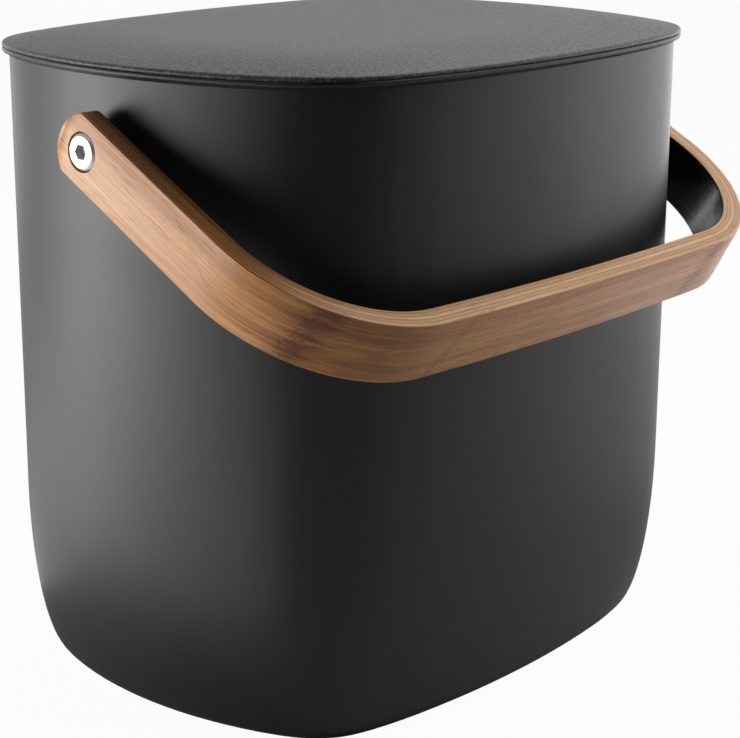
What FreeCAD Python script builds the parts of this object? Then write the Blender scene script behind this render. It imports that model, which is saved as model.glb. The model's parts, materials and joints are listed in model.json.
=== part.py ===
import FreeCAD, Part
import cmath
import math
import os
import Sketcher
from FreeCAD import Placement, Rotation, Vector

# Small countertop recycling bin: a drafted plastic body with bowed sides, a crowned
# lift-off lid and a bent laminated bamboo handle that swings on two pivot screws.
# Frame: origin at the middle of the flat base, +Z up, X along the handle's pivot axis,
# -Y towards the front, where the handle hangs. Lengths in millimetres, angles in degrees.

doc = FreeCAD.newDocument("recycling_bin")

SIZES = {
    # body, measured at the rim
    "body_width": 200.0,
    "body_depth": 156.5,
    "body_height": 189.2,
    "side_bow_radius": 135.2,
    "front_bow_radius": 348.0,
    "corner_radius": 34.1,
    "blend_turn": 6.0,
    "draft_angle": 0.29,
    "foot_inset": 11.4,
    "foot_height": 56.2,
    "wall": 2.2,
    "floor_thickness": 2.5,
    # rolled bead round the mouth
    "bead_overhang": 2.1,
    "bead_height": 1.6,
    "bead_bulge": 0.6,
    "bead_slope": 0.9,
    # lid
    "lid_edge": 1.5,
    "lid_edge_round": 1.0,
    "lid_undercut": 0.35,
    "lid_crown": 3.2,
    "crown_inner_corner": 3.0,
    "lid_roof": 2.0,
    "plug_depth": 11.0,
    "plug_clearance": 0.9,
    "plug_wall": 2.2,
    # seal ring in the plug's groove
    "seal_height": 3.0,
    "seal_groove_depth": 1.0,
    "seal_rise": 4.0,
    "seal_clearance": 0.35,
    "seal_fit": 0.05,
    # bent handle: its arms clear the bead, its crossbar clears the lid and hangs against the wall
    "ply": 1.35,
    "handle_width": 19.3,
    "nose_reach": 9.75,
    "nose_radius": 12.0,
    "nose_corner_radius": 2.5,
    "bend_radius": 45.6,
    "crossbar_bow_radius": 2040.0,
    "arm_splay": 1.08,
    "outer_edge_round": 0.5,
    "inner_edge_round": 1.0,
    "arm_clearance": 1.35,
    "swing_clearance": 10.69,
    "rest_gap": 0.4,
    # pivot boss moulded on the body, below the lid's plug
    "boss_margin": 0.5,
    "boss_outside": 1.1,
    "boss_inside": 1.2,
    "boss_below_plug": 2.8,
    # M6 screw with a low button head
    "screw_radius": 3.0,
    "head_rim": 0.75,
    "head_height": 2.7,
    "head_bevel": 0.9,
    "socket_flats": 4.0,
    "socket_depth": 2.0,
    # sleeve that the handle turns on, spacer, washer and cap nut
    "sleeve_wall": 1.3,
    "spacer_wall": 2.8,
    "washer_rim": 3.8,
    "washer_thickness": 1.2,
    "nut_wall": 1.95,
    "nut_hex_height": 5.0,
    "nut_shoulder": 0.4,
    "nut_cap_wall": 0.6,
    "thread_engagement": 7.55,
    "thread_runout": 1.45,
    # clearances at the pivot
    "running_clearance": 0.05,
    "hole_clearance": 0.2,
    "head_clearance": 0.35,
    "head_seat_gap": 0.25,
    "arm_side_gap": 0.16,
}

PLY_NAMES = ("outer", "second", "middle", "fourth", "inner")
PLIES = len(PLY_NAMES)
HEAD_PLIES = 2
# the eased edges take at most this share of a ply
EDGE_SHARE = 0.9
# arcs of falling radius between a bow and a corner of the plan
BLEND_ARCS = 2
# how far the cut round an arm's end reaches, in handle widths
END_CUT_WIDTHS = 1.5
SIDES = {"left": -1, "right": 1}
AXIS_Z = Vector(0, 0, 1)

# Sizes that follow from the driving ones. Faces along the pivot axis are distances from the
# middle of the bin, the same on both sides.
FITTED = {
    "sleeve_bore": "Sizes.screw_radius + Sizes.hole_clearance",
    "sleeve_radius": "sleeve_bore + Sizes.sleeve_wall",
    "spacer_bore": "sleeve_radius + Sizes.hole_clearance",
    "spacer_radius": "spacer_bore + Sizes.spacer_wall",
    "boss_radius": "spacer_radius + Sizes.boss_margin",
    "washer_radius": "sleeve_bore + Sizes.washer_rim",
    "head_radius": "sleeve_radius + Sizes.head_rim",
    "head_bore": "head_radius + Sizes.head_clearance",
    "arm_bore": "sleeve_radius + Sizes.running_clearance",
    "thread_radius": "Sizes.screw_radius + Sizes.running_clearance",
    "nut_flats": "2 * (thread_radius + Sizes.nut_wall)",
    "dome_radius": "nut_flats / 2 - Sizes.nut_shoulder",
    "pivot_height": "Sizes.body_height - Sizes.plug_depth - Sizes.boss_below_plug - boss_radius",
    "boss_face": "Sizes.body_width / 2 + Sizes.boss_outside",
    "boss_back": "Sizes.body_width / 2 - Sizes.wall - Sizes.boss_inside",
    "nut_face": "boss_back - Sizes.washer_thickness",
    "nut_hex_end": "nut_face - Sizes.nut_hex_height",
    "shank_end": "nut_face - Sizes.thread_engagement",
    "thread_end": "shank_end - Sizes.thread_runout",
    "dome_centre": "thread_end + sqrt((dome_radius - Sizes.nut_cap_wall)^2 - thread_radius^2)",
    "arm_face": "Sizes.body_width / 2 + Sizes.bead_overhang + Sizes.arm_clearance",
    "spacer_end": "arm_face - Sizes.arm_side_gap - spacer_radius * tan(Sizes.arm_splay)",
    "seat_ply_face": f"arm_face + {PLIES - HEAD_PLIES} * Sizes.ply / cos(Sizes.arm_splay)",
    "head_seat": "seat_ply_face + Sizes.head_seat_gap + head_radius * tan(Sizes.arm_splay)",
    "head_top": "head_seat + Sizes.head_height",
    "bevel_start": "head_top - Sizes.head_bevel",
    "socket_end": "head_top - Sizes.socket_depth",
    "handle_thickness": f"{PLIES} * Sizes.ply",
    "lid_edge_distance": "sqrt((Sizes.body_depth / 2 + Sizes.bead_overhang)^2"
    " + (Sizes.body_height + Sizes.lid_edge - pivot_height)^2)",
    "handle_reach": "lid_edge_distance + Sizes.swing_clearance + handle_thickness",
    "nose_centre": "Sizes.nose_reach - Sizes.nose_radius",
    "nose_corner_height": "Sizes.handle_width / 2 - Sizes.nose_corner_radius",
    "nose_corner_centre": "nose_centre"
    " + sqrt((Sizes.nose_radius - Sizes.nose_corner_radius)^2 - nose_corner_height^2)",
    "outer_ease": f"min(Sizes.outer_edge_round; {EDGE_SHARE} * Sizes.ply)",
    "inner_ease": f"min(Sizes.inner_edge_round; {EDGE_SHARE} * Sizes.ply)",
}

sheet = doc.addObject("Spreadsheet::Sheet", "Sizes")
for row, (alias, value) in enumerate(SIZES.items(), start=1):
    sheet.set(f"A{row}", alias)
    sheet.set(f"B{row}", str(value))
    sheet.setAlias(f"B{row}", alias)
doc.recompute()


fitted = doc.addObject("App::VarSet", "Fitted")
for name in FITTED:
    fitted.addProperty("App::PropertyFloat", name)
for name, expression in FITTED.items():
    fitted.setExpression(name, expression)
doc.recompute()


def size(alias):
    """One driving dimension, read back from the sheet."""
    return float(sheet.get(alias))


# Plan of the body: tangent arcs that bow out on all four sides


def blend_radii(bow):
    """Radii that fall from a bow's to the corner's by equal ratios."""
    ratio = size("corner_radius") / bow
    return [bow * ratio ** (step / (BLEND_ARCS + 1)) for step in range(BLEND_ARCS + 2)]


def centre_step(radii):
    """Way from a bow's centre to the corner's, as its length and its angle past the bow's end."""
    turn = math.radians(size("blend_turn"))
    falls = [first - second for first, second in zip(radii, radii[1:])]
    return cmath.polar(sum(cmath.rect(fall, turn * order) for order, fall in enumerate(falls)))


def quarter_arcs():
    """Arcs of the outline from the +X axis to the +Y axis, on the complex plane, angles in radians."""
    half_width, half_depth = size("body_width") / 2, size("body_depth") / 2
    side_radii, front_radii = blend_radii(size("side_bow_radius")), blend_radii(size("front_bow_radius"))
    side_step, side_lead = centre_step(side_radii)
    front_step, front_lead = centre_step(front_radii)
    side_centre = complex(half_width - side_radii[0], 0)
    front_centre = complex(0, half_depth - front_radii[0])
    # the corner's centre is where the circles of both steps cross
    between = front_centre - side_centre
    along = (side_step ** 2 - front_step ** 2 + abs(between) ** 2) / (2 * abs(between))
    across = math.sqrt(side_step ** 2 - along ** 2)
    corner_centre = side_centre + between / abs(between) * complex(along, across)
    turn = math.radians(size("blend_turn"))
    side_end = cmath.phase(corner_centre - side_centre) - side_lead
    front_start = cmath.phase(corner_centre - front_centre) + front_lead
    orders = range(BLEND_ARCS + 1)
    joints = [side_end + turn * order for order in orders]
    joints += [front_start - turn * order for order in reversed(orders)]
    radii = side_radii + front_radii[-2::-1]
    arcs = []
    centre = side_centre
    for order, (first, last) in enumerate(zip([0.0] + joints, joints + [math.pi / 2])):
        if order > 0:
            centre += cmath.rect(radii[order - 1] - radii[order], first)
        arcs.append((centre, radii[order], first, last))
    return arcs


def plan_arcs():
    """Arcs of the rim outline as (centre, radius, first angle, last angle), anticlockwise from +X."""
    quarter = quarter_arcs()
    back = [(-c.conjugate(), r, math.pi - last, math.pi - first) for c, r, first, last in reversed(quarter)]
    half = quarter + back
    whole = half + [(-c, r, math.pi + first, math.pi + last) for c, r, first, last in half]
    return [
        (Vector(c.real, c.imag, 0), r, math.degrees(first), math.degrees(last))
        for c, r, first, last in whole
    ]


PLAN = plan_arcs()


def plate(outset, low, high):
    """Flat plate inside the outline moved outwards by outset, from one height to another."""
    edges = [
        Part.makeCircle(radius + outset, centre + AXIS_Z * low, AXIS_Z, first, last)
        for centre, radius, first, last in PLAN
    ]
    return Part.Face(Part.Wire(edges)).extrude(AXIS_Z * (high - low))


def ring(section):
    """Carry a closed section, drawn as (outset, height), once round the outline."""
    face = Part.Face(Part.Wire(section))
    sectors = []
    for centre, radius, first, last in PLAN:
        start = face.translated(Vector(radius, 0, 0))
        start.rotate(Vector(), AXIS_Z, first)
        start.translate(centre)
        sectors.append(start.revolve(centre, AXIS_Z, last - first))
    return sectors


def joined(solids):
    return solids[0].multiFuse(solids[1:]).removeSplitter()


def at(outset, height):
    return Vector(outset, 0, height)


def path(*points):
    """Straight edges through the points of a section."""
    return [Part.makeLine(a, b) for a, b in zip(points, points[1:])]


def arc(start, through, end):
    return Part.Arc(start, through, end).toShape()


def quarter_ellipse(low, high):
    """Quarter ellipse that leaves the floor level at low and meets the wall upright at high."""
    centre = at(low.x, high.z)
    return Part.ArcOfEllipse(Part.Ellipse(low, high, centre), 0, math.pi / 2).toShape()


def wall_outset(height):
    """Outer wall line of the drafted body, left of the rim outline by the draft."""
    return -(size("body_height") - height) * math.tan(math.radians(size("draft_angle")))


def part_feature(name, shape):
    feature = doc.addObject("Part::Feature", name)
    feature.Shape = shape
    return feature


def bin_shell():
    """Wall with its bead, rounded foot and floor, as one moulded shell."""
    top, wall, floor = size("body_height"), size("wall"), size("floor_thickness")
    foot_top = size("foot_height")
    bead_low = top - size("bead_height")
    bead_root = size("bead_overhang") - size("bead_bulge")
    slope_low = bead_low - size("bead_slope")
    outer_knee = at(wall_outset(foot_top), foot_top)
    outer_foot = at(outer_knee.x - size("foot_inset"), 0)
    inner_knee = at(outer_knee.x - wall, foot_top)
    inner_foot = at(outer_foot.x - wall, floor)
    bead_start, bead_end = at(bead_root, bead_low), at(bead_root, top)
    section = [quarter_ellipse(outer_foot, outer_knee)]
    section += path(outer_knee, at(wall_outset(slope_low), slope_low), bead_start)
    section += [arc(bead_start, at(size("bead_overhang"), (bead_low + top) / 2), bead_end)]
    section += path(bead_end, at(-wall, top), inner_knee)
    section += [quarter_ellipse(inner_foot, inner_knee)]
    section += path(inner_foot, at(inner_foot.x, 0), outer_foot)
    floor_plate = plate(outer_foot.x - wall / 2, 0, floor)
    return part_feature("bin_shell", joined(ring(section) + [floor_plate]))


def seal_band():
    """Lowest and highest level of the groove in the plug."""
    low = size("body_height") - size("plug_depth") + size("seal_rise")
    return low, low + size("seal_height")


def plug_face():
    return -size("wall") - size("plug_clearance")


def lid_shape():
    """Crowned roof with an undercut edge and a hollow plug that drops inside the mouth."""
    rest = size("body_height")
    edge_top = rest + size("lid_edge")
    edge_round, undercut = size("lid_edge_round"), size("lid_undercut")
    reach = size("bead_overhang")
    crown_start = at(reach - edge_round, edge_top)
    crown_end = at(size("crown_inner_corner") - size("corner_radius"), edge_top + size("lid_crown"))
    run = crown_start.x - crown_end.x
    crown_radius = (run ** 2 + size("lid_crown") ** 2) / (2 * size("lid_crown"))
    round_centre = at(reach - edge_round, edge_top - edge_round)
    diagonal = edge_round * math.sqrt(0.5)

    def crown(outset, depth):
        """Point of the crown's arc, or of the arc a depth below it."""
        rise = math.sqrt((crown_radius - depth) ** 2 - (outset - crown_end.x) ** 2)
        return at(outset, crown_end.z - crown_radius + rise)

    roof = size("lid_roof")
    outer, inner = plug_face(), plug_face() - size("plug_wall")
    bottom = rest - size("plug_depth")
    groove = outer - size("seal_groove_depth")
    groove_low, groove_high = seal_band()
    under_crown = crown(inner, roof)
    under_end = crown_end - AXIS_Z * roof
    seat = at(reach - undercut, rest)
    section = path(seat, at(reach, rest + undercut), at(reach, edge_top - edge_round))
    section += [arc(at(reach, edge_top - edge_round), round_centre + at(diagonal, diagonal), crown_start)]
    section += [arc(crown_start, crown((crown_start.x + crown_end.x) / 2, 0), crown_end)]
    section += path(crown_end, under_end)
    section += [arc(under_end, crown((under_crown.x + under_end.x) / 2, roof), under_crown)]
    section += path(
        under_crown,
        at(inner, bottom),
        at(outer, bottom),
        at(outer, groove_low),
        at(groove, groove_low),
        at(groove, groove_high),
        at(outer, groove_high),
        at(outer, rest),
        seat,
    )
    return joined(ring(section) + [plate(crown_end.x, under_end.z, crown_end.z)])


def seal_shape():
    """Soft ring that fills the plug's groove and stands out to the wall."""
    fit = size("seal_fit")
    low, high = seal_band()
    back = plug_face() - size("seal_groove_depth") + fit
    front = wall_outset(low) - size("wall") - size("seal_clearance")
    corners = [at(back, low + fit), at(front, low + fit), at(front, high - fit), at(back, high - fit)]
    return joined(ring(path(*corners, corners[0])))


# Pivot hardware, each piece built outwards along X from the middle of the bin


def axial(kind, name, side, start, **dimensions):
    """Primitive whose own axis points outwards along the pivot axis, from a start distance."""
    piece = doc.addObject(kind, name)
    sign = SIDES[side]
    piece.Placement = Placement(Vector(), Rotation(Vector(0, 1, 0), 90 * sign))
    piece.setExpression("Placement.Base.x", f"{sign} * {start}")
    piece.setExpression("Placement.Base.z", "Fitted.pivot_height")
    for dimension, expression in dimensions.items():
        piece.setExpression(dimension, expression)
    return piece


def cylinder(name, side, start, end, radius):
    return axial("Part::Cylinder", name, side, start, Radius=radius, Height=f"{end} - {start}")


def hexagon(name, side, start, end, flats):
    corner = f"{flats} / sqrt(3)"
    prism = axial("Part::Prism", name, side, start, Circumradius=corner, Height=f"{end} - {start}")
    prism.Polygon = 6
    # turn the flats level
    prism.Placement.Rotation = prism.Placement.Rotation * Rotation(AXIS_Z, 30)
    return prism


def fused(name, pieces):
    group = doc.addObject("Part::MultiFuse", name)
    group.Shapes = pieces
    group.Refine = True
    return group


def cut(name, base, tool):
    result = doc.addObject("Part::Cut", name)
    result.Base = base
    result.Tool = tool
    return result


def tube(name, side, start, end, radius, bore):
    """Round piece with a through bore."""
    outside = cylinder(f"{name}_outside", side, start, end, radius)
    inside = cylinder(f"{name}_bore", side, start, end, bore)
    return cut(name, outside, inside)


def pivot_screw(side):
    name = f"pivot_screw_{side}"
    shank = cylinder(f"{name}_shank", side, "Fitted.shank_end", "Fitted.bevel_start", "Sizes.screw_radius")
    head = cylinder(f"{name}_head", side, "Fitted.head_seat", "Fitted.bevel_start", "Fitted.head_radius")
    bevel = axial(
        "Part::Cone",
        f"{name}_bevel",
        side,
        "Fitted.bevel_start",
        Radius1="Fitted.head_radius",
        Radius2="Fitted.head_radius - Sizes.head_bevel",
        Height="Sizes.head_bevel",
    )
    socket = hexagon(f"{name}_socket", side, "Fitted.socket_end", "Fitted.head_top", "Sizes.socket_flats")
    return cut(name, fused(f"{name}_blank", [shank, head, bevel]), socket)


def pivot_sleeve(side):
    ends = ("Fitted.boss_face", "Fitted.head_seat")
    return tube(f"pivot_sleeve_{side}", side, *ends, "Fitted.sleeve_radius", "Fitted.sleeve_bore")


def pivot_spacer(side):
    ends = ("Fitted.boss_face", "Fitted.spacer_end")
    return tube(f"pivot_spacer_{side}", side, *ends, "Fitted.spacer_radius", "Fitted.spacer_bore")


def pivot_washer(side):
    ends = ("Fitted.nut_face", "Fitted.boss_back")
    return tube(f"pivot_washer_{side}", side, *ends, "Fitted.washer_radius", "Fitted.sleeve_bore")


def pivot_nut(side):
    """Cap nut: a hexagon, a short collar and a round dome, threaded from the wall side."""
    name = f"pivot_nut_{side}"
    blank = [
        hexagon(f"{name}_hexagon", side, "Fitted.nut_hex_end", "Fitted.nut_face", "Fitted.nut_flats"),
        cylinder(f"{name}_collar", side, "Fitted.dome_centre", "Fitted.nut_face", "Fitted.dome_radius"),
        axial("Part::Sphere", f"{name}_dome", side, "Fitted.dome_centre", Radius="Fitted.dome_radius"),
    ]
    thread = cylinder(f"{name}_thread", side, "Fitted.thread_end", "Fitted.nut_face", "Fitted.thread_radius")
    return cut(name, fused(f"{name}_blank", blank), thread)


def bin_body():
    """Moulded shell with a flat pivot boss on each side, bored for the screw."""
    ends = ("Fitted.boss_back", "Fitted.boss_face")
    bosses = [cylinder(f"boss_{side}", side, *ends, "Fitted.boss_radius") for side in SIDES]
    bores = [cylinder(f"boss_bore_{side}", side, *ends, "Fitted.sleeve_bore") for side in SIDES]
    return cut("bin_body", fused("bin_blank", [bin_shell(), *bosses]), fused("bin_bores", bores))


# Bent handle, drawn level in its own plane with the arms towards -Y, then tilted to hang


def origin_plane(body, role):
    return next(feature for feature in body.Origin.OriginFeatures if feature.Role == role)


def new_sketch(body, name, role):
    sketch = body.newObject("Sketcher::SketchObject", name)
    sketch.AttachmentSupport = [(origin_plane(body, role), "")]
    sketch.MapMode = "FlatFace"
    return sketch


def bind(sketch, constraint, expression):
    """Add a dimension to a sketch and tie it to the sheet."""
    index = sketch.addConstraint(constraint)
    sketch.setExpression(f"Constraints[{index}]", expression)


def handle_line():
    """Outer face line of the handle's right half, seen along its width.

    Returns where it crosses the pivot axis, the arm's outward normal and the centres of the
    bend and of the bowed crossbar.
    """
    splay = math.radians(size("arm_splay"))
    bend, bow = size("bend_radius"), size("crossbar_bow_radius")
    bow_centre = Vector(0, bow - fitted.handle_reach, 0)
    along = Vector(math.sin(splay), -math.cos(splay), 0)
    outward = Vector(math.cos(splay), math.sin(splay), 0)
    outer_pivot = Vector(fitted.arm_face + fitted.handle_thickness / math.cos(splay), 0, 0)
    # the bend touches the arm and the bowed crossbar
    start = outer_pivot - outward * bend - bow_centre
    reach = -start.dot(along) + math.sqrt(start.dot(along) ** 2 - start.Length ** 2 + (bow - bend) ** 2)
    bend_centre = outer_pivot - outward * bend + along * reach
    return outer_pivot, outward, bend_centre, bow_centre


def hang_angle():
    """Angle below level at which the crossbar's lower inner edge comes to rest off the front wall."""
    draft = math.radians(size("draft_angle"))
    ease = fitted.inner_ease
    # centre of the eased edge, measured from the pivot along the arm and across it
    reach = fitted.handle_reach - fitted.handle_thickness + ease
    across = size("handle_width") / 2 - ease
    wall_at_pivot = size("body_depth") / 2 + wall_outset(fitted.pivot_height)
    level = reach + across * math.tan(draft)
    upright = reach * math.tan(draft) - across
    target = wall_at_pivot + (size("rest_gap") + ease) / math.cos(draft)
    return math.degrees(math.acos(target / math.hypot(level, upright)) + math.atan2(upright, level))


def u_outline(sketch, depth_plies):
    """One face line of the bent strip, a number of plies in from the outer face, free end to free end.

    Returns the two straight arms, so that the line inside it can be joined on at the free ends.
    """
    depth = depth_plies * size("ply")
    splay = math.radians(size("arm_splay"))
    width, bend = size("handle_width"), size("bend_radius")
    bow = size("crossbar_bow_radius")
    outer_pivot, outward, bend_centre, bow_centre = handle_line()
    to_bend = bend_centre - bow_centre
    bar_turn = math.atan2(to_bend.y, to_bend.x)
    radius = bend - depth
    pivot = outer_pivot - Vector(depth / math.cos(splay), 0, 0)
    free_end = pivot + Vector(-width * math.tan(splay), width, 0)
    arm_end = bend_centre + outward * radius

    def mirrored(point):
        return Vector(-point.x, point.y, 0)

    def circle_arc(centre, radius, first, last):
        return Part.ArcOfCircle(Part.Circle(centre, AXIS_Z, radius), first, last)

    arm_right = sketch.addGeometry(Part.LineSegment(free_end, arm_end))
    bend_right = sketch.addGeometry(circle_arc(bend_centre, radius, bar_turn, splay))
    crossbar = sketch.addGeometry(circle_arc(bow_centre, bow - depth, -math.pi - bar_turn, bar_turn))
    bend_left = sketch.addGeometry(
        circle_arc(mirrored(bend_centre), radius, math.pi - splay, math.pi - bar_turn)
    )
    arm_left = sketch.addGeometry(Part.LineSegment(mirrored(free_end), mirrored(arm_end)))
    for first, first_end, second, second_end in (
        (arm_right, 2, bend_right, 2),
        (bend_right, 1, crossbar, 2),
        (crossbar, 1, bend_left, 2),
        (bend_left, 1, arm_left, 2),
    ):
        sketch.addConstraint(Sketcher.Constraint("Tangent", first, first_end, second, second_end))
    inset = f"{depth_plies} * Sizes.ply"
    for bend_arc in (bend_right, bend_left):
        bind(sketch, Sketcher.Constraint("Radius", bend_arc, radius), f"Sizes.bend_radius - {inset}")
    bind(
        sketch,
        Sketcher.Constraint("Radius", crossbar, bow - depth),
        f"Sizes.crossbar_bow_radius - {inset}",
    )
    sketch.addConstraint(Sketcher.Constraint("PointOnObject", crossbar, 3, -2))
    bind(
        sketch,
        Sketcher.Constraint("DistanceY", -1, 1, crossbar, 3, bow_centre.y),
        "Sizes.crossbar_bow_radius - Fitted.handle_reach",
    )
    at_pivot = f"(Fitted.arm_face + {PLIES - depth_plies} * Sizes.ply / cos(Sizes.arm_splay))"
    at_end = f"({at_pivot} - Sizes.handle_width * tan(Sizes.arm_splay))"
    for arm, sign in ((arm_right, 1), (arm_left, -1)):
        marker = sketch.addGeometry(Part.Point(Vector(sign * pivot.x, 0, 0)), True)
        sketch.addConstraint(Sketcher.Constraint("PointOnObject", marker, 1, -1))
        sketch.addConstraint(Sketcher.Constraint("PointOnObject", marker, 1, arm))
        bind(sketch, Sketcher.Constraint("DistanceY", -1, 1, arm, 1, width), "Sizes.handle_width")
        ends = ((-1, 1, marker, 1), (-1, 1, arm, 1)) if sign > 0 else ((marker, 1, -1, 1), (arm, 1, -1, 1))
        bind(sketch, Sketcher.Constraint("DistanceX", *ends[0], pivot.x), at_pivot)
        bind(sketch, Sketcher.Constraint("DistanceX", *ends[1], free_end.x), at_end)
    return arm_right, arm_left


def close_ends(sketch, outer_arms, inner_arms):
    for outer_arm, inner_arm in zip(outer_arms, inner_arms):
        start = sketch.getPoint(outer_arm, 1)
        end = sketch.getPoint(inner_arm, 1)
        line = sketch.addGeometry(Part.LineSegment(start, end))
        sketch.addConstraint(Sketcher.Constraint("Coincident", line, 1, outer_arm, 1))
        sketch.addConstraint(Sketcher.Constraint("Coincident", line, 2, inner_arm, 1))


def nose_centres():
    """Centre of an arm's end arc behind the pivot, and of its upper corner arc."""
    return fitted.nose_centre, fitted.nose_corner_centre, fitted.nose_corner_height


def end_cut(sketch, bore_value, bore_expression):
    """What is cut away seen from the side: the bore, and all beyond the round end of the arms."""
    half = size("handle_width") / 2
    far = END_CUT_WIDTHS * size("handle_width")
    corner_radius = size("nose_corner_radius")
    nose_centre, corner_x, corner_y = nose_centres()
    turn = math.atan2(corner_y, corner_x - nose_centre)

    def circle_arc(x, y, radius, first, last):
        circle = Part.Circle(Vector(x, y, 0), AXIS_Z, radius)
        return sketch.addGeometry(Part.ArcOfCircle(circle, first, last))

    bore = sketch.addGeometry(Part.Circle(Vector(), AXIS_Z, bore_value))
    sketch.addConstraint(Sketcher.Constraint("Coincident", bore, 3, -1, 1))
    bind(sketch, Sketcher.Constraint("Radius", bore, bore_value), bore_expression)
    upper = circle_arc(corner_x, corner_y, corner_radius, turn, math.pi / 2)
    nose = circle_arc(nose_centre, 0, size("nose_radius"), -turn, turn)
    lower = circle_arc(corner_x, -corner_y, corner_radius, -math.pi / 2, -turn)
    upper_half = [(corner_x, half), (corner_x, far), (far, far)]
    outline = upper_half + [(x, -y) for x, y in reversed(upper_half)]
    corners = [Vector(x, y, 0) for x, y in outline]
    lines = [sketch.addGeometry(Part.LineSegment(a, b)) for a, b in zip(corners, corners[1:])]
    sketch.addConstraint(Sketcher.Constraint("Tangent", upper, 1, nose, 2))
    sketch.addConstraint(Sketcher.Constraint("Tangent", nose, 1, lower, 2))
    sketch.addConstraint(Sketcher.Constraint("PointOnObject", nose, 3, -1))
    bind(sketch, Sketcher.Constraint("Radius", nose, size("nose_radius")), "Sizes.nose_radius")
    bind(sketch, Sketcher.Constraint("DistanceX", -1, 1, nose, 3, nose_centre), "Fitted.nose_centre")
    for corner, ends in ((upper, (-1, 1, upper, 3)), (lower, (lower, 3, -1, 1))):
        bind(sketch, Sketcher.Constraint("Radius", corner, corner_radius), "Sizes.nose_corner_radius")
        bind(sketch, Sketcher.Constraint("DistanceY", *ends, corner_y), "Fitted.nose_corner_height")
    sketch.addConstraint(Sketcher.Constraint("Coincident", upper, 2, lines[0], 1))
    for first, second in zip(lines, lines[1:]):
        sketch.addConstraint(Sketcher.Constraint("Coincident", first, 2, second, 1))
    sketch.addConstraint(Sketcher.Constraint("Coincident", lines[-1], 2, lower, 1))
    # the corner arcs leave the long edges level, above and below their centres
    sketch.addConstraint(Sketcher.Constraint("Vertical", upper, 2, upper, 3))
    sketch.addConstraint(Sketcher.Constraint("Vertical", lower, 1, lower, 3))
    for upright in (lines[0], lines[2], lines[4]):
        sketch.addConstraint(Sketcher.Constraint("Vertical", upright))
    for level in (lines[1], lines[3]):
        sketch.addConstraint(Sketcher.Constraint("Horizontal", level))
    far_expression = f"{END_CUT_WIDTHS} * Sizes.handle_width"
    for corner in (lines[1], lines[3]):
        point = 1 if corner == lines[1] else 2
        ends = (-1, 1, corner, point) if corner == lines[1] else (corner, point, -1, 1)
        bind(sketch, Sketcher.Constraint("DistanceY", *ends, far), far_expression)
    bind(sketch, Sketcher.Constraint("DistanceX", -1, 1, lines[1], 2, far), far_expression)


def face_edges(shape, depth):
    """Names of the edges round the face that lies a depth in from the handle's outer face."""
    outer_pivot, outward, bend_centre, bow_centre = handle_line()
    half = size("handle_width") / 2
    nose_centre, corner_x, corner_y = nose_centres()
    close = 1e-4
    names = []
    for index, edge in enumerate(shape.Edges, start=1):
        middle = edge.valueAt((edge.FirstParameter + edge.LastParameter) / 2)
        flat = Vector(abs(middle.x), middle.y, 0)
        depths = (
            (outer_pivot - flat).dot(outward),
            size("bend_radius") - (flat - bend_centre).Length,
            size("crossbar_bow_radius") - (flat - bow_centre).Length,
        )
        on_face = any(abs(value - depth) < close for value in depths)
        on_rim = abs(abs(middle.z) - half) < close
        nose_gap = math.hypot(middle.y - nose_centre, middle.z) - size("nose_radius")
        corner_gap = math.hypot(middle.y - corner_x, abs(middle.z) - corner_y) - size("nose_corner_radius")
        on_end = middle.y > 0 and min(abs(nose_gap), abs(corner_gap)) < close
        if on_face and (on_rim or on_end):
            names.append(f"Edge{index}")
    return names


def eased(body, name, base, depth, radius):
    """Round over the long edges of one face of the handle."""
    ease = body.newObject("PartDesign::Fillet", f"ease_{name}")
    ease.Base = (base, face_edges(base.Shape, depth))
    ease.setExpression("Radius", radius)
    doc.recompute()
    return ease


def handle_ply(order, name):
    """One bamboo strip of the bent handle, counted from the outer face."""
    body = doc.addObject("PartDesign::Body", f"handle_ply_{name}")
    outline = new_sketch(body, f"outline_{name}", "XY_Plane")
    outer_arms = u_outline(outline, order)
    inner_arms = u_outline(outline, order + 1)
    close_ends(outline, outer_arms, inner_arms)
    strip = body.newObject("PartDesign::Pad", f"strip_{name}")
    strip.Profile = outline
    strip.SideType = "Symmetric"
    strip.setExpression("Length", "Sizes.handle_width")
    doc.recompute()
    ends = new_sketch(body, f"ends_{name}", "YZ_Plane")
    bore_name = "head_bore" if order < HEAD_PLIES else "arm_bore"
    end_cut(ends, getattr(fitted, bore_name), f"Fitted.{bore_name}")
    trim = body.newObject("PartDesign::Pocket", f"trim_{name}")
    trim.Profile = ends
    trim.SideType = "Symmetric"
    trim.setExpression("Length", "4 * Fitted.arm_face")
    doc.recompute()
    if order == 0:
        body.Tip = eased(body, name, trim, 0, "Fitted.outer_ease")
    elif order == PLIES - 1:
        body.Tip = eased(body, name, trim, fitted.handle_thickness, "Fitted.inner_ease")
    else:
        body.Tip = trim
    body.Placement = Placement(Vector(), Rotation(Vector(1, 0, 0), hang_angle()))
    body.setExpression("Placement.Base.z", "Fitted.pivot_height")
    return body


parts = [bin_body(), part_feature("lid", lid_shape()), part_feature("lid_seal", seal_shape())]
parts += [handle_ply(order, name) for order, name in enumerate(PLY_NAMES)]
for side in SIDES:
    parts += [make(side) for make in (pivot_screw, pivot_sleeve, pivot_spacer, pivot_washer, pivot_nut)]
doc.recompute()

for item in doc.Objects:
    if "Invalid" in item.State or "Error" in item.State:
        raise RuntimeError(f"{item.Label} did not build: {item.State}")
for part in parts:
    if part.Shape.isNull() or not part.Shape.isValid():
        raise RuntimeError(f"{part.Label} has no valid shape")

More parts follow.
